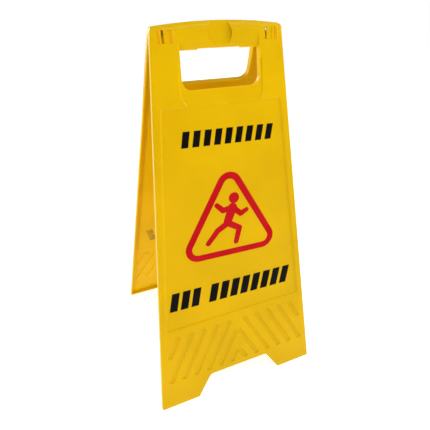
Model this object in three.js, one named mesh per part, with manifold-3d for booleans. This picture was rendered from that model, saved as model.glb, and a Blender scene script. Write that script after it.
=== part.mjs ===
// Folding wet floor sign: two identical moulded leaves, each the other turned half round,
// that clip together on their own hinge pins under the carrying handle.
// Millimetres, +Z up, the origin on the floor midway between the feet, front face towards -Y.
//
// Every leaf is drawn in its own frame: x across, y up with the hinge axis at y = 0, z outward
// from the hinge axis to the printed face. Two group transforms then lean it against its twin.

import * as THREE from "three";
import { mergeVertices } from "three/addons/utils/BufferGeometryUtils.js";
import Module from "manifold-3d";

const wasm = await Module();
wasm.setup();

// ---- driving dimensions ----
const LEAF_LENGTH = 600; // hinge axis to the foot, along the leaf
const HALF_ANGLE = THREE.MathUtils.degToRad(13.6); // lean of each leaf when the sign stands open
const FACE = 10; // outer face to the hinge axis
const SKIRT_EDGE = 1; // inner edge of the skirt to the hinge axis
const WALL = 2.2; // moulded wall thickness
const EDGE_ROUND = 2; // rounding of the outer edge of the face

const AXIS_HALF_WIDTH = 92; // half width of the leaf at the hinge axis
const FOOT_HALF_WIDTH = 154.3; // half width at the feet
const FLARE = (FOOT_HALF_WIDTH - AXIS_HALF_WIDTH) / LEAF_LENGTH;
const CROWN_TOP = 18; // top of the arched edge above the axis, at the middle
const CROWN_DROP = 6.2; // how far the arch falls by its ends
const CORNER_ROUND = 7;
const CROWN_ROLL = 13; // how far down the face the rounding of the top edge starts
const CROWN_STEPS = 10;

const HOLE_HALF_WIDTH = 55.9; // hand hole, just under the handle
const HOLE_FLARE = 0.02;
const HOLE_BOTTOM = 64.6;
const HOLE_ROUND = 13;
const HANDLE_LOW = 16.2; // underside of the handle below the axis
const HANDLE_WAIST = 30; // half length of the slimmer middle of the handle
const WAIST_STEP = 1.3;
const THUMB_RADIUS = 17.2; // flat round dish on the middle of the handle
const THUMB_HEIGHT = 1.7; // its centre above the axis
const THUMB_FLOOR = 6.6; // its flat floor, measured outward from the axis

const FOOT_TRIM = 4; // drawn past the floor, then trimmed flat by it
const SOLE_SLANT = 2.4; // the slanting floor cut takes this much more off the inside
const NOTCH_TOP = LEAF_LENGTH - 557.6; // height of the arch between the feet
const NOTCH_TOP_HALF = 57;
const NOTCH_FOOT_HALF = 82.5;

const RELIEF = 2; // depth of the pressed-in panel
const SLOPE = 3; // width of its sloping border
const COLLAR_DEPTH = 1;
const COLLAR_SLOPE = 1.5;
const PANEL_INSET = 10; // side edge of the leaf to the top of the slope
const PANEL_TOP = 84;
const PANEL_BOTTOM = 436.5;
const COLLAR_HALF = 61;
const COLLAR_LOW = 88;

const GRIP_TOP = 450; // the slanted grip grooves, top and bottom ends
const GRIP_LOW = 546;
const GRIP_WIDTH = 10.4;
const GRIP_DEPTH = 2;
const GRIP_SLOPE = 1.8;
const GRIP_PITCH = 23.5; // groove to groove, across the leaf
const GRIP_FIRST = 12.5; // middle of the first groove at the top line
const GRIP_LEAN = 0.52; // sideways run for each millimetre down
const GRIP_SIDE = 15; // clear border beside the grooves

const PIN_RADIUS = 3.5;
const CLIP_GAP = 0.45; // running clearance round the pin
const CLIP_WALL = 2.2;
const CLIP_WRAP = THREE.MathUtils.degToRad(118); // how far each jaw wraps round the pin
const STOP_GAP = 0.25; // each leaf's clearance to the open stop
const CLIPS = [[-83.2, -80], [-67.8, -62.2]]; // the two clips, across the leaf
const POCKETS = [[-83.3, -78.4], [-68.4, -61], [78.6, 83]]; // thin spots over clips and pin
const POCKET_DEPTH = 0.9;
const SLOTS = [[-78, -74.6], [64.8, 68.2]]; // open slots beside the clip and the pin web
const SLOT_HEIGHTS = [-8, 7]; // low and high end of pockets, slots and ribs
const PIN_SPAN = [60, 88.6];
const PIN_WEB = [69.2, 72.2];
const PIN_END_WEB = [86.2, 90.4]; // runs into the side skirt
const RIBS = [[75.8, 78.6], [83, 85.6]]; // low ribs beside the pin's pocket
const RIB_HIGH = 1;

const INK = 0.35; // thickness of the printed film
const INK_GAP = 0.3;
const PRINT_TILT = THREE.MathUtils.degToRad(-1.7); // the print sits a little off square
const TRIANGLE = { apex: 162, low: 321.7, half: 92.2, round: 21, band: 10.6 };
const FIGURE_STROKE = 9.6;
const TORSO_WIDTH = 16;
const HEAD_RADIUS = 8.8;

const HINGE_HEIGHT = LEAF_LENGTH * Math.cos(HALF_ANGLE) - FACE * Math.sin(HALF_ANGLE);
const BEYOND = 40; // how far a cutter runs past what it cuts

// ---- solids ----
function solid(geometry) {
  const bare = geometry.index ? geometry.toNonIndexed() : geometry.clone();
  bare.deleteAttribute("normal");
  bare.deleteAttribute("uv");
  const merged = mergeVertices(bare, 1e-4);
  return new wasm.Manifold(
    new wasm.Mesh({
      numProp: 3,
      vertProperties: new Float32Array(merged.attributes.position.array),
      triVerts: new Uint32Array(merged.index.array),
    }),
  );
}

function geometryOf(made) {
  const mesh = made.getMesh();
  const geometry = new THREE.BufferGeometry();
  geometry.setAttribute("position", new THREE.BufferAttribute(mesh.vertProperties, 3));
  geometry.setIndex(new THREE.BufferAttribute(mesh.triVerts, 1));
  const facets = geometry.toNonIndexed();
  facets.computeVertexNormals();
  return facets;
}

const join = (first, ...rest) => rest.reduce((whole, piece) => whole.add(piece), first);
const cut = (first, ...rest) => rest.reduce((whole, tool) => whole.subtract(tool), first);

// A box from its lowest to its highest corner.
function block(x0, x1, y0, y1, z0, z1) {
  const box = new THREE.BoxGeometry(x1 - x0, y1 - y0, z1 - z0);
  return solid(box.translate((x0 + x1) / 2, (y0 + y1) / 2, (z0 + z1) / 2));
}

// ---- outlines, as lists of corners [x, y, radius] that run anticlockwise ----

// A closed shape whose corners are rounded by arcs.
function outline(corners) {
  const shape = new THREE.Shape();
  corners.forEach(([x, y, radius], i) => {
    const here = new THREE.Vector2(x, y);
    const before = new THREE.Vector2(...corners.at(i - 1)).sub(here).normalize();
    const after = new THREE.Vector2(...corners[(i + 1) % corners.length]).sub(here).normalize();
    const place = (point) => (i ? shape.lineTo(point.x, point.y) : shape.moveTo(point.x, point.y));
    if (!radius) return place(here);
    const half = Math.acos(THREE.MathUtils.clamp(before.dot(after), -1, 1)) / 2;
    const start = before.clone().multiplyScalar(radius / Math.tan(half)).add(here);
    const bisector = before.clone().add(after).normalize();
    const centre = bisector.multiplyScalar(radius / Math.sin(half)).add(here);
    const end = after.clone().multiplyScalar(radius / Math.tan(half)).add(here);
    const from = start.clone().sub(centre).angle();
    const to = end.clone().sub(centre).angle();
    const turnsRight = before.cross(after) > 0;
    place(start);
    shape.absarc(centre.x, centre.y, radius, from, to, turnsRight);
  });
  shape.closePath();
  return shape;
}

// The same corners with every edge moved inward by a distance.
function inset(corners, distance) {
  return corners.map(([x, y, radius], i) => {
    const before = corners.at(i - 1);
    const after = corners[(i + 1) % corners.length];
    const into = new THREE.Vector2(x - before[0], y - before[1]).normalize();
    const out = new THREE.Vector2(after[0] - x, after[1] - y).normalize();
    const turn = into.cross(out);
    const lean = (1 + into.dot(out)) / 2;
    const shift = new THREE.Vector2(-into.y - out.y, into.x + out.x).multiplyScalar(distance / (2 * lean));
    const kept = radius ? Math.max(radius - Math.sign(turn) * distance, 0.3) : 0;
    return [x + shift.x, y + shift.y, kept];
  });
}

// A prism of an outline between two heights, its floor narrowed by a sloping border if asked.
function prism(shape, low, high, slope = 0, drop = 0, curveSegments = 3, bevelSegments = 1) {
  const geometry = new THREE.ExtrudeGeometry(shape, {
    depth: high - low - drop,
    curveSegments,
    bevelEnabled: slope > 0,
    bevelThickness: drop,
    bevelSize: slope,
    bevelOffset: -slope,
    bevelSegments,
  });
  return solid(geometry.translate(0, 0, low + drop));
}

// A bar along x of a section drawn as (height, outward).
function bar(section, left, right, steps = 1, bend = null, curveSegments = 8) {
  const geometry = new THREE.ExtrudeGeometry(section, {
    depth: right - left,
    steps,
    bevelEnabled: false,
    curveSegments,
  });
  const [across, up, outward] = [0, 1, 2].map((axis) => new THREE.Vector3().setComponent(axis, 1));
  geometry.applyMatrix4(new THREE.Matrix4().makeBasis(up, outward, across));
  geometry.translate(left, 0, 0);
  if (bend) {
    const points = geometry.attributes.position;
    for (let i = 0; i < points.count; i++) points.setY(i, bend(points.getX(i), points.getY(i)));
  }
  return solid(geometry);
}

// ---- the leaf ----
const halfWidth = (below) => AXIS_HALF_WIDTH + FLARE * below;
const crown = (x) => CROWN_TOP - CROWN_DROP * (x / AXIS_HALF_WIDTH) ** 2;
const followCrown = (x, y) => (y > 0 ? (y * crown(x)) / CROWN_TOP : y);

function leafCorners(foot) {
  const corner = AXIS_HALF_WIDTH - FLARE * crown(AXIS_HALF_WIDTH);
  const arch = [];
  for (let i = 1; i < CROWN_STEPS; i++) {
    const x = corner * (1 - (2 * i) / CROWN_STEPS);
    arch.push([x, crown(x), 0]);
  }
  return [
    [-halfWidth(-foot), foot, 3],
    [-NOTCH_FOOT_HALF - 2.4, foot, 4],
    [-NOTCH_TOP_HALF, -LEAF_LENGTH + NOTCH_TOP, 9],
    [NOTCH_TOP_HALF, -LEAF_LENGTH + NOTCH_TOP, 9],
    [NOTCH_FOOT_HALF + 2.4, foot, 4],
    [halfWidth(-foot), foot, 3],
    [corner, crown(corner), CORNER_ROUND],
    ...arch,
    [-corner, crown(corner), CORNER_ROUND],
  ];
}

// The shell: a face with a skirt all round its edge, open to the inside.
function shell() {
  const trimmed = leafCorners(-LEAF_LENGTH - FOOT_TRIM);
  const inside = inset(leafCorners(-LEAF_LENGTH + SOLE_SLANT), WALL);
  const hull = new THREE.ExtrudeGeometry(outline(trimmed), {
    depth: FACE - EDGE_ROUND + BEYOND,
    curveSegments: 3,
    bevelThickness: EDGE_ROUND,
    bevelSize: EDGE_ROUND,
    bevelOffset: -EDGE_ROUND,
    bevelSegments: 3,
  }).translate(0, 0, -BEYOND);
  const behind = block(-200, 200, -700, 100, -BEYOND - 10, SKIRT_EDGE);
  const hollow = cut(prism(outline(inside), -BEYOND, FACE - WALL), crownRoll(WALL));
  return cut(solid(hull), behind, hollow, crownRoll(0));
}

// The waste beyond the rounded top edge, or beyond a wall inside it, bent to follow the arch.
function crownRoll(wall) {
  const section = new THREE.Shape();
  const low = CROWN_TOP - CROWN_ROLL;
  const deep = FACE - SKIRT_EDGE - wall;
  section.moveTo(low, SKIRT_EDGE + deep);
  section.absellipse(low, SKIRT_EDGE, CROWN_ROLL - wall, deep, Math.PI / 2, 0, true);
  section.lineTo(CROWN_TOP + 3, SKIRT_EDGE);
  section.lineTo(CROWN_TOP + 3, FACE + 1);
  section.lineTo(low, FACE + 1);
  return bar(section, -AXIS_HALF_WIDTH, AXIS_HALF_WIDTH, 2 * CROWN_STEPS, followCrown, 6);
}

function holeCorners() {
  const low = -HOLE_BOTTOM;
  const lowHalf = HOLE_HALF_WIDTH + HOLE_FLARE * HOLE_BOTTOM;
  return [
    [-lowHalf, low, HOLE_ROUND],
    [lowHalf, low, HOLE_ROUND],
    [HOLE_HALF_WIDTH, BEYOND, 0],
    [-HOLE_HALF_WIDTH, BEYOND, 0],
  ];
}

// The lining wall that stiffens the hand hole.
function holeLining() {
  const wide = prism(outline(inset(holeCorners(), -WALL)), SKIRT_EDGE, FACE - WALL / 2, 0, 0, 4);
  const above = block(-100, 100, 9, 100, -BEYOND, BEYOND);
  return cut(wide, above);
}

// Half of the round carrying handle: a hollow D section, slimmer along its middle.
function handle() {
  const dSection = (wall) => {
    const section = new THREE.Shape();
    const widest = CROWN_TOP - CROWN_ROLL;
    const up = CROWN_ROLL - wall;
    const down = widest + HANDLE_LOW - wall;
    const deep = FACE - SKIRT_EDGE - wall;
    const back = wall ? -BEYOND : SKIRT_EDGE;
    section.moveTo(widest + up, back);
    section.absellipse(widest, SKIRT_EDGE, up, deep, 0, Math.PI / 2, false);
    section.absellipse(widest, SKIRT_EDGE, down, deep, Math.PI / 2, Math.PI, false);
    section.lineTo(widest - down, back);
    return section;
  };
  const end = HOLE_HALF_WIDTH + WALL / 2;
  const outside = bar(dSection(0), -end, end, CROWN_STEPS, followCrown, 6);
  const inside = bar(dSection(WALL), -end - 1, end + 1, CROWN_STEPS, followCrown, 6);
  const waistLow = -HANDLE_LOW + WAIST_STEP;
  const waist = block(-HANDLE_WAIST, HANDLE_WAIST, -HANDLE_LOW - 1, waistLow, -BEYOND, BEYOND);
  const waistSkin = block(-HANDLE_WAIST, HANDLE_WAIST, waistLow, waistLow + WALL, SKIRT_EDGE, 6.2);
  const dish = new THREE.CylinderGeometry(THUMB_RADIUS, THUMB_RADIUS, BEYOND, 40).rotateX(Math.PI / 2);
  const dishFloor = new THREE.CylinderGeometry(THUMB_RADIUS + WALL, THUMB_RADIUS + WALL, WALL, 40);
  dishFloor.rotateX(Math.PI / 2).translate(0, THUMB_HEIGHT, THUMB_FLOOR - WALL / 2);
  const backing = solid(dishFloor).intersect(outside);
  const skin = join(cut(outside, inside), waistSkin.intersect(outside), backing);
  return cut(skin, waist, solid(dish.translate(0, THUMB_HEIGHT, THUMB_FLOOR + BEYOND / 2)));
}

// ---- the pressed relief ----
const stepBack = (corners, extra) => inset(corners, -extra);

function panelCorners() {
  const side = (below) => halfWidth(below) - PANEL_INSET;
  return [
    [-side(PANEL_BOTTOM), -PANEL_BOTTOM, 6],
    [side(PANEL_BOTTOM), -PANEL_BOTTOM, 6],
    [side(PANEL_TOP), -PANEL_TOP, 5],
    [-side(PANEL_TOP), -PANEL_TOP, 5],
  ];
}

// The shallow dish under the hand hole, where the fingers go in.
function collarCorners() {
  return [
    [-COLLAR_HALF, -COLLAR_LOW, 20],
    [COLLAR_HALF, -COLLAR_LOW, 20],
    [COLLAR_HALF, -30, 0],
    [-COLLAR_HALF, -30, 0],
  ];
}

// The outline of one grip groove: a slanted slot with round ends, kept off the leaf's side.
function grooveCorners(side, top, shift) {
  const lean = Math.hypot(GRIP_LEAN, 1);
  const along = [GRIP_LEAN / lean, -1 / lean];
  const half = GRIP_WIDTH / 2;
  const start = [GRIP_FIRST + shift + GRIP_LEAN * (top - GRIP_TOP), -top];
  const reach = (halfWidth(top) - GRIP_SIDE - start[0]) / (GRIP_LEAN - FLARE);
  const run = Math.min(GRIP_LOW - top, reach) * lean;
  const corner = (far, across) => [
    side * (start[0] + along[0] * far * run - across * half * along[1]),
    start[1] + along[1] * far * run + across * half * along[0],
    half * 0.8,
  ];
  const loop = [corner(0, -1), corner(1, -1), corner(1, 1), corner(0, 1)];
  return side > 0 ? loop : loop.reverse();
}

function grooves() {
  const made = [];
  for (const side of [-1, 1]) {
    for (let i = 0; i < 5; i++) made.push(grooveCorners(side, GRIP_TOP, i * GRIP_PITCH));
    for (const i of [1, 2]) {
      // the inner ones start where the two slants meet
      const top = GRIP_TOP + (i * GRIP_PITCH - GRIP_FIRST) / GRIP_LEAN;
      made.push(grooveCorners(side, top + 4, -i * GRIP_PITCH));
    }
  }
  return made;
}

// Pads keep the wall behind each pressed shape as thick as the rest, and pockets press it in.
function relief(leaf) {
  let made = leaf;
  const press = (corners, depth, slope) => {
    const pad = prism(outline(stepBack(corners, 1.2)), FACE - WALL - depth, FACE - WALL / 2, slope, depth);
    const pocket = prism(outline(corners), FACE - depth, FACE + 5, slope, depth);
    made = join(made, pad);
    return pocket;
  };
  const pockets = [
    press(panelCorners(), RELIEF, SLOPE),
    press(collarCorners(), COLLAR_DEPTH, COLLAR_SLOPE),
  ];
  for (const corners of grooves()) pockets.push(press(corners, GRIP_DEPTH, GRIP_SLOPE));
  return cut(made, ...pockets);
}

// ---- the hinge ----

// A jaw clip: it wraps round the other leaf's pin, open inward, and hangs from the face on two
// legs.
function clip([left, right]) {
  const inner = PIN_RADIUS + CLIP_GAP;
  const outer = inner + CLIP_WALL;
  const arch = new THREE.Shape();
  const middle = Math.PI / 2;
  arch.absarc(0, 0, outer, middle - CLIP_WRAP, middle + CLIP_WRAP, false);
  arch.absarc(0, 0, inner, middle + CLIP_WRAP, middle - CLIP_WRAP, true);
  const jaw = bar(arch, left, right, 1, null, 12);
  const rise = FACE - WALL + 0.3;
  const legs = block(left, right, -outer, outer, 0, rise);
  const gap = block(left - 1, right + 1, -inner, inner, -1, FACE);
  return join(jaw, cut(legs, gap));
}

// The hinge pin, and the two webs that carry it from the face.
function pin() {
  const length = PIN_SPAN[1] - PIN_SPAN[0];
  const rod = new THREE.CylinderGeometry(PIN_RADIUS, PIN_RADIUS, length, 24).rotateZ(Math.PI / 2);
  rod.translate((PIN_SPAN[0] + PIN_SPAN[1]) / 2, 0, 0);
  const cheek = block(PIN_END_WEB[0], PIN_SPAN[1], -PIN_RADIUS, PIN_RADIUS, 0, 3);
  return join(solid(rod), cheek);
}

function pinWebs() {
  const rise = FACE - WALL + 0.3;
  const middle = block(PIN_WEB[0], PIN_WEB[1], -PIN_RADIUS, PIN_RADIUS, 0, rise);
  const end = block(PIN_END_WEB[0], PIN_END_WEB[1], -9, 9, SKIRT_EDGE, rise);
  return join(middle, end);
}

// A low rib beside a pocket, steep on its left and easing down to the face on its right.
function rib([left, right]) {
  const section = new THREE.Shape();
  const crest = left + (right - left) * 0.3;
  section.moveTo(left, FACE - 1);
  section.lineTo(right, FACE - 1);
  section.lineTo(right, FACE);
  section.lineTo(crest, FACE + RIB_HIGH);
  section.lineTo(left, FACE + RIB_HIGH / 2);
  section.closePath();
  const [low, high] = SLOT_HEIGHTS;
  const strip = new THREE.ExtrudeGeometry(section, { depth: high - low, bevelEnabled: false });
  return solid(strip.rotateX(Math.PI / 2).translate(0, high, 0));
}

const pose = new THREE.Matrix4()
  .makeTranslation(0, 0, HINGE_HEIGHT)
  .multiply(new THREE.Matrix4().makeRotationX(Math.PI / 2 - HALF_ANGLE));

// A world-space box brought into the leaf's frame.
function fromWorld(x, y, z, wide, deep, high) {
  const box = new THREE.BoxGeometry(wide, deep, high).translate(x, y, z);
  return solid(box.applyMatrix4(pose.clone().invert()));
}

function leaf() {
  let body = relief(join(shell(), holeLining()));
  body = cut(body, prism(outline(holeCorners()), -BEYOND, FACE + BEYOND, 0, 0, 4));
  body = join(body, handle(), pinWebs());

  // above the axis the two leaves butt together: this is the open stop
  const stop = fromWorld(0, 50 - STOP_GAP, HINGE_HEIGHT + 25, 400, 100, 50);
  const floor = fromWorld(0, 0, -50, 800, 800, 100);
  body = cut(body, stop, floor);

  for (const [left, right] of SLOTS) {
    body = cut(body, block(left, right, ...SLOT_HEIGHTS, -BEYOND, BEYOND));
  }
  for (const [left, right] of POCKETS) {
    body = cut(body, block(left, right, ...SLOT_HEIGHTS, FACE - POCKET_DEPTH, BEYOND));
  }
  return join(body, pin(), ...CLIPS.map(clip), ...RIBS.map(rib));
}

// ---- the print ----
const filmLow = FACE - RELIEF + INK_GAP;

function film(shape, curveSegments = 4) {
  const geometry = new THREE.ExtrudeGeometry(shape, { depth: INK, bevelEnabled: false, curveSegments });
  return solid(geometry.translate(0, 0, filmLow));
}

// A row of slanted dashes that stand on one thin line.
function dashRow({ left, right, middle, high, count, share, lean }) {
  const pitch = (right - left - lean) / (count - 1 + share);
  const foot = -middle - high / 2;
  const shape = new THREE.Shape();
  shape.moveTo(left, foot);
  shape.lineTo(right - lean, foot);
  for (let i = count - 1; i >= 0; i--) {
    const start = left + i * pitch;
    const wide = pitch * share;
    const rail = [foot + 1.2, (lean * 1.2) / high];
    shape.lineTo(start + wide + rail[1], rail[0]);
    shape.lineTo(start + wide + lean, foot + high);
    shape.lineTo(start + lean, foot + high);
    if (i) shape.lineTo(start + rail[1], rail[0]);
  }
  shape.closePath();
  return film(shape);
}

const ROWS = {
  upper_dashes: { left: -71, right: 73.5, middle: 129.6, high: 22.4, count: 9, share: 0.42, lean: 4 },
  lower_short_dashes: { left: -112, right: -55, middle: 386, high: 33.6, count: 3, share: 0.62, lean: 7 },
  lower_long_dashes: { left: -44, right: 112, middle: 386, high: 33.6, count: 8, share: 0.62, lean: 7 },
};

function triangleCorners() {
  const { apex, low, half, round } = TRIANGLE;
  return [[-half, -low, round], [half, -low, round], [0, -apex, round]];
}

function triangleFrame() {
  const shape = outline(triangleCorners());
  shape.holes.push(outline(inset(triangleCorners(), TRIANGLE.band)));
  return film(shape, 4);
}

// A round-ended stroke between two points, part of the figure.
function stroke([x0, y0], [x1, y1], width = FIGURE_STROKE) {
  const shape = new THREE.Shape();
  const angle = Math.atan2(y1 - y0, x1 - x0);
  shape.absarc(x1, y1, width / 2, angle - Math.PI / 2, angle + Math.PI / 2, false);
  shape.absarc(x0, y0, width / 2, angle + Math.PI / 2, angle + (3 * Math.PI) / 2, false);
  shape.closePath();
  return film(shape, 4);
}

// A plain stick figure losing its footing.
const FIGURE = {
  head: [7, -225],
  neck: [4, -241],
  hip: [-5, -263],
  limbs: [
    [[6, -240], [-12, -243], [-22, -233]],
    [[5, -241], [18, -253], [28, -248]],
    [[-3, -266], [15, -277], [9, -300]],
    [[-6, -266], [-22, -275], [-39, -294]],
  ],
};

function figure() {
  const head = new THREE.Shape();
  head.absarc(...FIGURE.head, HEAD_RADIUS, 0, 2 * Math.PI, false);
  const torso = stroke(FIGURE.neck, FIGURE.hip, TORSO_WIDTH);
  const limbs = FIGURE.limbs.flatMap(([a, b, c]) => [stroke(a, b), stroke(b, c)]);
  return join(film(head, 8), torso, ...limbs);
}

// ---- assembly ----
const plastic = new THREE.MeshStandardMaterial({ color: 0xf2bd05, roughness: 0.38, metalness: 0 });
const redInk = new THREE.MeshStandardMaterial({ color: 0xc81420, roughness: 0.45, metalness: 0 });
const blackInk = new THREE.MeshStandardMaterial({ color: 0x121110, roughness: 0.45, metalness: 0 });

function mesh(name, made, material) {
  const piece = new THREE.Mesh(geometryOf(made), material);
  piece.name = name;
  return piece;
}

const oneLeaf = leaf();
const frameFilm = triangleFrame();
const figureFilm = figure();

// One leaf with its print, leaning back at the half angle.
function dressedLeaf(side) {
  const group = new THREE.Group();
  group.add(mesh(`${side}_leaf`, oneLeaf, plastic));
  const print = new THREE.Group();
  const centre = 255; // the print is turned about its own middle
  print.position.set(0, -centre, 0);
  print.rotation.z = PRINT_TILT;
  const sheet = new THREE.Group();
  sheet.position.set(0, centre, 0);
  sheet.add(mesh(`${side}_triangle`, frameFilm, redInk));
  sheet.add(mesh(`${side}_figure`, figureFilm, redInk));
  for (const [row, sizes] of Object.entries(ROWS)) {
    sheet.add(mesh(`${side}_${row}`, dashRow(sizes), blackInk));
  }
  print.add(sheet);
  group.add(print);
  group.applyMatrix4(pose);
  return group;
}

const sign = new THREE.Group();
const front = dressedLeaf("front");
const turned = new THREE.Group();
turned.rotation.z = Math.PI;
turned.add(dressedLeaf("rear"));
sign.add(front, turned);

export default sign;
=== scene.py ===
import math

import bmesh
import bpy
from mathutils import Matrix, Vector


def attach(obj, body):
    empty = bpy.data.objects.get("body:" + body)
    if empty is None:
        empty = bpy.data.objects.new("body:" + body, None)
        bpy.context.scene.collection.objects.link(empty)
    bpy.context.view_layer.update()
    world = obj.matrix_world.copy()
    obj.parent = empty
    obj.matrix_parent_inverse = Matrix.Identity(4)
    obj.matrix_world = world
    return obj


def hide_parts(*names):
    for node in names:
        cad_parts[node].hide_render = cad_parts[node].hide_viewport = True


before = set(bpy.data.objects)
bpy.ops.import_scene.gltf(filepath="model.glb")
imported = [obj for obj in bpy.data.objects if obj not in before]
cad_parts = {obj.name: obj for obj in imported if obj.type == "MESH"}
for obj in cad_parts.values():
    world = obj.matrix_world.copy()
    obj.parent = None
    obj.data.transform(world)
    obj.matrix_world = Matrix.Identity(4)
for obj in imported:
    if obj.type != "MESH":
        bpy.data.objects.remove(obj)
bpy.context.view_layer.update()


# ---- camera: a close, slightly high three-quarter view from the front left ----
# A hand-held view from about half a metre, so the top of the sign looms and the feet draw in.
CAMERA_PLACE = (-0.1958, -0.4686, 0.6496)
CAMERA_TURN = math.radians(22.93)  # to the right of straight ahead
CAMERA_DIP = math.radians(35.06)
CAMERA_ROLL = math.radians(1.28)
CAMERA_LENS = 29.12  # millimetres, on a full-frame sensor
SENSOR_WIDTH = 36
NEAREST = 0.01

camera_data = bpy.data.cameras.new("camera")
camera_data.lens = CAMERA_LENS
camera_data.sensor_width = SENSOR_WIDTH
camera_data.clip_start = NEAREST
camera = bpy.data.objects.new("camera", camera_data)
bpy.context.scene.collection.objects.link(camera)
aim = (
    Matrix.Rotation(-CAMERA_TURN, 4, "Z")
    @ Matrix.Rotation(math.radians(90) - CAMERA_DIP, 4, "X")
    @ Matrix.Rotation(CAMERA_ROLL, 4, "Z")
)
camera.matrix_world = Matrix.Translation(CAMERA_PLACE) @ aim
bpy.context.scene.camera = camera


# ---- floor and light: a bright white sweep under soft studio light ----
# The sweep glows a little, as an opal sheet does, so it stays clean white under the sign.
# A lamp high on the right gives the shapes their shade, a strip above lights the crown, a soft one
# fills from the left, a broad one behind shines through the thin walls, and a small one adds sparkle.
def linear(hex_colour):
    """An sRGB hex colour as linear red, green, blue and alpha."""
    def channel(value):
        return value / 12.92 if value <= 0.04045 else ((value + 0.055) / 1.055) ** 2.4

    digits = hex_colour.lstrip("#")
    return (*[channel(int(digits[i:i + 2], 16) / 255) for i in (0, 2, 4)], 1.0)


def new_material(name):
    """An empty node material, its tree and its output node."""
    material = bpy.data.materials.new(name)
    material.use_nodes = True
    tree = material.node_tree
    tree.nodes.clear()
    return material, tree, tree.nodes.new("ShaderNodeOutputMaterial")


def add(tree, kind, settings=None, **inputs):
    """Adds a node, sets its settings, and fills or links its inputs by socket name or _number."""
    node = tree.nodes.new(kind)
    for key, value in (settings or {}).items():
        setattr(node, key, value)
    for key, value in inputs.items():
        socket = node.inputs[int(key[1:])] if key[1:].isdigit() else node.inputs[key.replace("_", " ")]
        if isinstance(value, bpy.types.NodeSocket):
            tree.links.new(value, socket)
        else:
            socket.default_value = value
    return node


SWEEP_WHITE = "#d4d4d4"
SWEEP_GLOW = 0.7
GLOW_WHITE = "#ffffff"
STUDIO_WHITE = "#fafbff"
STUDIO_STRENGTH = 0.46
BACKDROP_STRENGTH = 0.92  # the backdrop itself is near white, and the light it gives is dimmer

sweep_paper, tree, output = new_material("opal_white_studio_sweep")
grain = add(tree, "ShaderNodeTexNoise", Scale=40.0, Detail=3.0)
roughness = add(tree, "ShaderNodeMapRange", Value=grain.outputs["Fac"], To_Min=0.8, To_Max=0.95)
shader = add(
    tree, "ShaderNodeBsdfPrincipled",
    Base_Color=linear(SWEEP_WHITE), Roughness=roughness.outputs[0], Specular_IOR_Level=0.2,
    Emission_Color=linear(GLOW_WHITE), Emission_Strength=SWEEP_GLOW,
)
tree.links.new(shader.outputs[0], output.inputs["Surface"])

SWEEP_REACH = 30
SWEEP_CLEARANCE = 0.0005  # the sweep lies this far under the feet
sweep_mesh = bpy.data.meshes.new("studio_sweep")
sweep_corners = [(x * SWEEP_REACH, y * SWEEP_REACH, 0) for x, y in ((-1, -1), (1, -1), (1, 1), (-1, 1))]
sweep_mesh.from_pydata(sweep_corners, [], [(0, 1, 2, 3)])
sweep = bpy.data.objects.new("studio_sweep", sweep_mesh)
sweep.location.z = -SWEEP_CLEARANCE
sweep_mesh.materials.append(sweep_paper)
bpy.context.scene.collection.objects.link(sweep)

world = bpy.data.worlds.new("studio")
bpy.context.scene.world = world
world.use_nodes = True
surround = world.node_tree.nodes["Background"]
surround.inputs["Color"].default_value = linear(STUDIO_WHITE)
seen = add(world.node_tree, "ShaderNodeLightPath").outputs["Is Camera Ray"]
strength = add(
    world.node_tree, "ShaderNodeMapRange",
    Value=seen, To_Min=STUDIO_STRENGTH, To_Max=BACKDROP_STRENGTH,
)
world.node_tree.links.new(strength.outputs[0], surround.inputs["Strength"])
bpy.context.scene.view_settings.view_transform = "Standard"

LAMPS = {
    "key": {"place": (1.85, -0.45, 1.45), "wide": 0.4, "high": 0.4, "watts": 18, "tint": "#fffaf2"},
    "top": {"place": (0.5, -0.5, 1.9), "wide": 0.9, "high": 0.15, "watts": 7, "tint": "#ffffff"},
    "fill": {"place": (-1.5, -0.9, 0.35), "wide": 0.5, "high": 0.9, "watts": 6, "tint": "#fffdf4"},
    "back": {"place": (-0.6, 1.6, 0.9), "wide": 0.9, "high": 0.9, "watts": 23, "tint": "#ffffff"},
    "tube": {"place": (0.95, -1.55, 1.75), "wide": 0.12, "high": 0.12, "watts": 1.5, "tint": "#ffffff"},
}
LAMPS_POINT_AT = (0, 0, 0.35)
for name, lamp in LAMPS.items():
    lamp_data = bpy.data.lights.new(name, "AREA")
    lamp_data.shape = "RECTANGLE"
    lamp_data.size = lamp["wide"]
    lamp_data.size_y = lamp["high"]
    lamp_data.energy = lamp["watts"]
    lamp_data.color = linear(lamp["tint"])[:3]
    lamp_object = bpy.data.objects.new(name, lamp_data)
    lamp_object.location = lamp["place"]
    towards = Vector(LAMPS_POINT_AT) - lamp_object.location
    lamp_object.rotation_euler = towards.to_track_quat("-Z", "Y").to_euler()
    bpy.context.scene.collection.objects.link(lamp_object)


# ---- leaves: two alike injection mouldings in translucent yellow polypropylene ----
# Polypropylene lets light a few millimetres in, so thin walls glow and lit edges run orange.
# The mould leaves a fine sheen, faint flow waves and small sinks.
LEAF_YELLOW = "#d5ac00"
FLOW_YELLOW = "#deb500"  # where the wall is a little thinner or lit through
LIT_THROUGH = "#ffcf00"  # a painted glow, standing in for daylight that has come through the wall
LIT_THROUGH_STRENGTH = 0.05
SOFT_EDGE = math.radians(31)  # edges flatter than this are moulded round
FLAT_EDGE = math.radians(0.6)  # facets closer than this are one face
SAME_POINT = 2e-6

FACE = 0.010  # hinge axis to the outer face, square to it
LEAN = math.radians(13.6)
HINGE_HEIGHT = 0.600 * math.cos(LEAN) - FACE * math.sin(LEAN)

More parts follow.
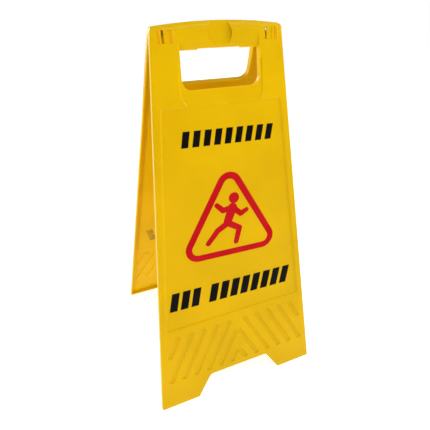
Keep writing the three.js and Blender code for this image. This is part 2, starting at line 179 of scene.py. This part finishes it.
# Thin spots in the face over the clips and the pin: across the leaf, then up from the hinge axis.
THIN_SPOTS = [(-0.0833, -0.0784), (-0.0684, -0.061), (0.0786, 0.083)]
THIN_SPOT_ENDS = (-0.008, 0.007)
BLUR_ENDS = 0.0008  # light creeps about this far into the thick wall past the ends of a thin spot
BLUR_SIDES = 0.0006
BLUR_STRIPE = 0.0004  # and this far beside the stripe that catches the light
LIT_SHARE = 0.3  # share of a thin spot, at its right side, that catches the light
# Painted light over the thin spots: an amber painted glow for light coming through the wall, and a
# brighter yellow painted highlight on the side that faces the light.
PAINTED_GLOW_AMBER = "#dea200"
PAINTED_LIT_SIDE_YELLOW = "#f4c820"  # the side of a thin spot that faces the light


def leaf_to_world(side):
    """From the leaf's own frame (across, up from the hinge axis, outward) to where it stands."""
    turn = Matrix.Rotation(math.pi if side == "rear" else 0, 4, "Z")
    stand = Matrix.Rotation(math.radians(90) - LEAN, 4, "X")
    return turn @ Matrix.Translation((0, 0, HINGE_HEIGHT)) @ stand


def between(tree, value, low, high, soft):
    """One from low to high, and nought past them, with soft ends."""
    above = add(
        tree, "ShaderNodeMapRange", {"interpolation_type": "SMOOTHSTEP"},
        Value=value, From_Min=low - soft, From_Max=low + soft,
    )
    below = add(
        tree, "ShaderNodeMapRange", {"interpolation_type": "SMOOTHSTEP"},
        Value=value, From_Min=high - soft, From_Max=high + soft, To_Min=1.0, To_Max=0.0,
    )
    both = add(tree, "ShaderNodeMath", {"operation": "MULTIPLY"}, _0=above.outputs[0], _1=below.outputs[0])
    return both.outputs[0]


def tinted(tree, cover, under, over):
    """The colour under, covered by the colour over as far as cover says."""
    mix = add(tree, "ShaderNodeMix", {"data_type": "RGBA"}, _0=cover, _6=under, _7=over)
    return mix.outputs[2]


def moulded_polypropylene(side):
    """The leaf plastic, with a painted glow and painted highlights over this leaf's thin spots."""
    material, tree, output = new_material(f"moulded_yellow_polypropylene_{side}")
    place = add(tree, "ShaderNodeTexCoord").outputs["Object"]
    flow = add(tree, "ShaderNodeTexNoise", Vector=place, Scale=11.0, Detail=2.0, Roughness=0.45)
    speckle = add(tree, "ShaderNodeTexNoise", Vector=place, Scale=900.0, Detail=2.0)
    tone = add(tree, "ShaderNodeMapRange", Value=flow.outputs["Fac"], From_Min=0.32, From_Max=0.68)
    colour = tinted(tree, tone.outputs[0], linear(LEAF_YELLOW), linear(FLOW_YELLOW))

    back = leaf_to_world(side).inverted()
    on_leaf = add(
        tree, "ShaderNodeMapping",
        Vector=place, Location=back.to_translation(), Rotation=back.to_euler(),
    )
    split = add(tree, "ShaderNodeSeparateXYZ", Vector=on_leaf.outputs[0]).outputs
    height = between(tree, split["Y"], *THIN_SPOT_ENDS, BLUR_ENDS)
    # Over each thin spot, a painted amber glow for light coming through the wall, then a painted highlight
    # along its right side.
    for left, right in THIN_SPOTS:
        across = between(tree, split["X"], left, right, BLUR_SIDES)
        spot = add(tree, "ShaderNodeMath", {"operation": "MULTIPLY"}, _0=across, _1=height)
        colour = tinted(tree, spot.outputs[0], colour, linear(PAINTED_GLOW_AMBER))
        lit_from = right - (right - left) * LIT_SHARE
        edge = between(tree, split["X"], lit_from, right, BLUR_STRIPE)
        stripe = add(tree, "ShaderNodeMath", {"operation": "MULTIPLY"}, _0=edge, _1=height)
        colour = tinted(tree, stripe.outputs[0], colour, linear(PAINTED_LIT_SIDE_YELLOW))

    gloss = add(tree, "ShaderNodeMapRange", Value=speckle.outputs["Fac"], To_Min=0.24, To_Max=0.36)
    waves = add(tree, "ShaderNodeTexNoise", Vector=place, Scale=28.0, Detail=1.0)
    sinks = add(tree, "ShaderNodeBump", Strength=0.25, Distance=0.0015, Height=waves.outputs["Fac"])
    sheen = add(
        tree, "ShaderNodeBump",
        Strength=0.12, Distance=0.0001, Height=speckle.outputs["Fac"], Normal=sinks.outputs[0],
    )
    # The emission is a painted glow over the whole leaf, standing in for light that comes through the
    # wall.
    shader = add(
        tree, "ShaderNodeBsdfPrincipled",
        Base_Color=colour, Roughness=gloss.outputs[0], IOR=1.49, Specular_IOR_Level=0.07,
        Emission_Color=linear(LIT_THROUGH), Emission_Strength=LIT_THROUGH_STRENGTH,
        Subsurface_Weight=0.6, Subsurface_Radius=(1.0, 0.85, 0.1), Subsurface_Scale=0.003,
        Normal=sheen.outputs[0],
    )
    tree.links.new(shader.outputs[0], output.inputs["Surface"])
    return material


def smooth_moulding(node, name):
    """A copy of a leaf with its facets joined, and shaded round wherever the mould is rounded."""
    mesh = node.data.copy()
    mesh.name = name
    joined = bmesh.new()
    joined.from_mesh(mesh)
    bmesh.ops.remove_doubles(joined, verts=joined.verts, dist=SAME_POINT)
    bmesh.ops.dissolve_limit(
        joined, angle_limit=FLAT_EDGE, verts=joined.verts, edges=joined.edges,
    )
    for face in joined.faces:
        face.smooth = True
    for edge in joined.edges:
        if len(edge.link_faces) != 2 or edge.calc_face_angle(math.pi) > SOFT_EDGE:
            edge.smooth = False
    joined.to_mesh(mesh)
    joined.free()
    moulding = bpy.data.objects.new(name, mesh)
    bpy.context.scene.collection.objects.link(moulding)
    weighted = moulding.modifiers.new("flat faces stay flat", "WEIGHTED_NORMAL")
    weighted.keep_sharp = True
    weighted.weight = 100
    return moulding


for side in ("front", "rear"):
    moulding = smooth_moulding(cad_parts[f"{side}_leaf"], f"{side}_leaf_moulding")
    moulding.data.materials.clear()
    moulding.data.materials.append(moulded_polypropylene(side))
    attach(moulding, side)
    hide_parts(f"{side}_leaf")


# ---- print: a red warning triangle with a slipping figure, and rows of slanted black dashes ----
# Screen printed on both pressed panels with a solvent ink, a film about a twentieth of a
# millimetre thick. It sits flush, a little off square, and dries to a satin finish.
RED_INK = "#c00a14"
RED_INK_THIN = "#c81620"
BLACK_INK = "#060505"
BLACK_INK_THIN = "#14110e"
INK_LIFT = 0.00006  # clearance under the film
INK_FILM = 0.00005
INK_STEP = 0.000004  # each stroke is laid this much higher than the last
PANEL_DEPTH = 0.002
PRINT_TILT = math.radians(-1.7)
PRINT_MIDDLE = -0.255  # up the leaf from the hinge axis: the print is turned about this


def ink(name, full, thin):
    """A satin ink, slightly uneven where the screen laid it thinner."""
    material, tree, output = new_material(name)
    place = add(tree, "ShaderNodeTexCoord").outputs["Object"]
    mesh_marks = add(tree, "ShaderNodeTexNoise", Vector=place, Scale=650.0, Detail=2.0)
    patches = add(tree, "ShaderNodeTexNoise", Vector=place, Scale=35.0, Detail=3.0)
    cover = add(tree, "ShaderNodeMapRange", Value=patches.outputs["Fac"], From_Min=0.4, From_Max=0.75)
    colour = tinted(tree, cover.outputs[0], linear(full), linear(thin))
    gloss = add(tree, "ShaderNodeMapRange", Value=mesh_marks.outputs["Fac"], To_Min=0.4, To_Max=0.55)
    bump = add(tree, "ShaderNodeBump", Strength=0.1, Distance=0.00005, Height=mesh_marks.outputs["Fac"])
    shader = add(
        tree, "ShaderNodeBsdfPrincipled",
        Base_Color=colour, Roughness=gloss.outputs[0], IOR=1.5,
        Specular_IOR_Level=0.05, Normal=bump.outputs[0],
    )
    tree.links.new(shader.outputs[0], output.inputs["Surface"])
    return material


red_ink = ink("screen_printed_red_ink", RED_INK, RED_INK_THIN)
black_ink = ink("screen_printed_black_ink", BLACK_INK, BLACK_INK_THIN)


def print_to_world(side, out):
    """From print measures (across, up from the hinge axis) to the leaf, so far out from its axis."""
    off_square = (
        Matrix.Translation((0, PRINT_MIDDLE, out))
        @ Matrix.Rotation(PRINT_TILT, 4, "Z")
        @ Matrix.Translation((0, -PRINT_MIDDLE, 0))
    )
    return leaf_to_world(side) @ off_square


def lay_film(name, side, material, shapes, out):
    """Closed outlines in millimetres, each made a thin film so far out from the hinge axis."""
    film = bmesh.new()
    for turn, outline in enumerate(shapes):
        top = INK_FILM + turn * INK_STEP  # strokes that cross lie on each other
        low = [film.verts.new((x / 1000, y / 1000, 0)) for x, y in outline]
        high = [film.verts.new((x / 1000, y / 1000, top)) for x, y in outline]
        film.faces.new(high)
        film.faces.new(low[::-1])
        for i in range(len(outline)):
            after = (i + 1) % len(outline)
            film.faces.new((low[i], low[after], high[after], high[i]))
    film.transform(print_to_world(side, out))
    mesh = bpy.data.meshes.new(name)
    film.to_mesh(mesh)
    film.free()
    mesh.materials.append(material)
    piece = bpy.data.objects.new(name, mesh)
    bpy.context.scene.collection.objects.link(piece)
    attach(piece, side)
    return piece


def arc(centre, radius, start, end, steps):
    """Points along an arc, anticlockwise if end is past start."""
    angles = [start + (end - start) * i / steps for i in range(steps + 1)]
    return [(centre[0] + radius * math.cos(a), centre[1] + radius * math.sin(a)) for a in angles]


def rounded(corners, radius, steps=14):
    """A polygon that runs anticlockwise, with its corners rounded."""
    outline = []
    for i, corner in enumerate(corners):
        here = Vector(corner)
        back = (Vector(corners[i - 1]) - here).normalized()
        ahead = (Vector(corners[(i + 1) % len(corners)]) - here).normalized()
        half = back.angle(ahead) / 2
        centre = here + (back + ahead).normalized() * (radius / math.sin(half))
        first = here + back * (radius / math.tan(half)) - centre
        start = math.atan2(first.y, first.x)
        outline += arc(centre, radius, start, start + math.pi - 2 * half, steps)
    return outline


# The triangle: one broad band, round at its corners, cut here into closed stretches.
TRIANGLE_CORNERS = [(-92.2, -321.7), (92.2, -321.7), (0, -162)]
TRIANGLE_ROUND = 21
TRIANGLE_BAND = 10.6


def triangle_band():
    """The band between two rounded triangles, as one four-sided stretch for each step round it."""
    outer = rounded(TRIANGLE_CORNERS, TRIANGLE_ROUND)
    middle = Vector([sum(corner[axis] for corner in TRIANGLE_CORNERS) / 3 for axis in (0, 1)])
    inner_radius = TRIANGLE_ROUND - TRIANGLE_BAND
    shrink = []
    for i, corner in enumerate(TRIANGLE_CORNERS):
        here = Vector(corner)
        back = (Vector(TRIANGLE_CORNERS[i - 1]) - here).normalized()
        ahead = (Vector(TRIANGLE_CORNERS[(i + 1) % 3]) - here).normalized()
        half = back.angle(ahead) / 2
        shrink.append(here + (back + ahead).normalized() * (TRIANGLE_BAND / math.sin(half)))
    inner = rounded(shrink, inner_radius)
    count = len(outer)
    return [
        [outer[i], outer[(i + 1) % count], inner[(i + 1) % count], inner[i]] for i in range(count)
    ]


# The figure: a plain stick figure losing its footing, in round-ended strokes.
FIGURE_HEAD = ((7, -225), 8.8)
FIGURE_STROKES = [
    ((4, -241), (-5, -263), 8, 7),  # the back
    ((6, -240), (-12, -243), 4.8, 4.6),
    ((-12, -243), (-22, -233), 4.6, 4),
    ((5, -241), (18, -253), 4.8, 4.6),
    ((18, -253), (28, -248), 4.6, 4),
    ((-3, -266), (15, -277), 5.4, 5),
    ((15, -277), (9, -300), 5, 4.4),
    ((-6, -266), (-22, -275), 5.4, 5),
    ((-22, -275), (-39, -294), 5, 4.4),
]


def stroke(start, end, wide_start, wide_end):
    """A tapered stroke with round ends."""
    along = math.atan2(end[1] - start[1], end[0] - start[0])
    right_angle = math.pi / 2
    far = arc(end, wide_end, along - right_angle, along + right_angle, 10)
    near = arc(start, wide_start, along + right_angle, along + 3 * right_angle, 10)
    return far + near


# The dashes: three rows of slanted bars, each row with its own length and bar width.
DASH_ROWS = {
    "upper_dashes": {
        "left": -71, "right": 73.5, "middle": 129.6, "high": 22.4, "count": 9, "share": 0.62, "lean": 4,
    },
    "lower_short_dashes": {
        "left": -112, "right": -55, "middle": 386, "high": 33.6, "count": 3, "share": 0.7, "lean": 7,
    },
    "lower_long_dashes": {
        "left": -44, "right": 112, "middle": 386, "high": 33.6, "count": 8, "share": 0.7, "lean": 7,
    },
}


def dashes(left, right, middle, high, count, share, lean):
    """A row of slanted bars; share is how much of the pitch a bar takes, the rest is gap."""
    pitch = (right - left - lean) / (count - 1 + share)
    foot = -middle - high / 2
    bars = []
    for i in range(count):
        start = left + i * pitch
        end = start + pitch * share
        bars.append([(start, foot), (end, foot), (end + lean, foot + high), (start + lean, foot + high)])
    return bars


figure_shapes = [arc(*FIGURE_HEAD, 0, 2 * math.pi, 32)[:-1]] + [stroke(*line) for line in FIGURE_STROKES]
PRINTS = {
    "triangle": (red_ink, "red_ink", triangle_band()),
    "figure": (red_ink, "red_ink", figure_shapes),
    **{row: (black_ink, "black_ink", dashes(**sizes)) for row, sizes in DASH_ROWS.items()},
}
ON_PANEL = FACE - PANEL_DEPTH + INK_LIFT
for side in ("front", "rear"):
    for part, (material, slot, shapes) in PRINTS.items():
        printed = lay_film(f"{side}_{part}_print", side, material, shapes, ON_PANEL)
        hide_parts(f"{side}_{part}")


# ---- shadow of the print: what shows through the wall on the inside of each leaf ----
# The wall lets light through except where the ink lies on it, so the print reads from behind
# as brown marks, softened by the plastic.
SHOW_THROUGH_DARK = "#a87c00"
SHOW_THROUGH_RED = "#d08c0a"
WALL = 0.0022


def shadowed_plastic(name, tint):
    """The leaf plastic where ink on the other side keeps the light out."""
    material, tree, output = new_material(name)
    place = add(tree, "ShaderNodeTexCoord").outputs["Object"]
    cloud = add(tree, "ShaderNodeTexNoise", Vector=place, Scale=120.0, Detail=2.0)
    patchy = add(tree, "ShaderNodeMapRange", Value=cloud.outputs["Fac"], From_Min=0.35, From_Max=0.8)
    colour = tinted(tree, patchy.outputs[0], linear(tint), linear(LEAF_YELLOW))
    gloss = add(tree, "ShaderNodeMapRange", Value=cloud.outputs["Fac"], To_Min=0.35, To_Max=0.45)
    shader = add(
        tree, "ShaderNodeBsdfPrincipled",
        Base_Color=colour, Roughness=gloss.outputs[0], IOR=1.49, Specular_IOR_Level=0.12,
    )
    tree.links.new(shader.outputs[0], output.inputs["Surface"])
    return material


behind_black = shadowed_plastic("polypropylene_over_black_ink", SHOW_THROUGH_DARK)
behind_red = shadowed_plastic("polypropylene_over_red_ink", SHOW_THROUGH_RED)
INSIDE_PANEL = FACE - PANEL_DEPTH - WALL - INK_LIFT - 2 * INK_FILM
for side in ("front", "rear"):
    for part, (material, slot, shapes) in PRINTS.items():
        plastic = behind_red if material is red_ink else behind_black
        shadow = lay_film(f"{side}_{part}_show_through", side, plastic, shapes, INSIDE_PANEL)
